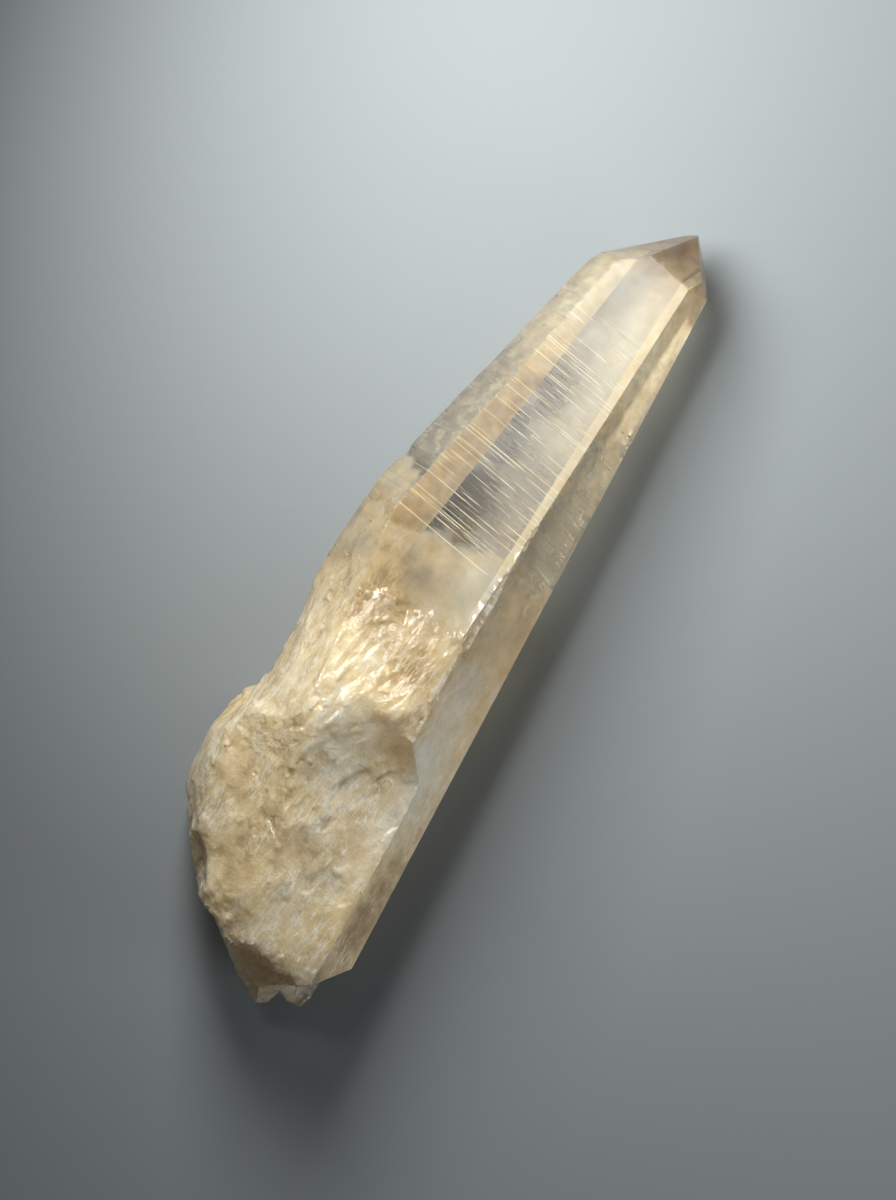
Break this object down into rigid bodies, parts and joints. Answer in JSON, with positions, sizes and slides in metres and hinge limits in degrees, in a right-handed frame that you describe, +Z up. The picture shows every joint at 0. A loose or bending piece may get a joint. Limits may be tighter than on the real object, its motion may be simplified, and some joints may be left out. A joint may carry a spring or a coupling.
{
  "type": "quartz crystal point",
  "caption": "Long tapered point of pale smoky quartz, clear and lined across towards its tip, milky and broken off rough at its root, lying on its side.",
  "frame": {"origin": "on the ground, under the middle of the stone's bounding box", "axes": "+X along the stone towards its tip, +Y towards the broken flank, +Z up from the face that it rests on"},
  "size_m": [0.15, 0.0404, 0.035],
  "materials": {
    "clear_quartz": "clear pale champagne quartz with smooth growth faces, milky and frosted over the broken root"
  },
  "bodies": {
    "root": {"quartz_point": "clear_quartz"}
  },
  "joints": []
}
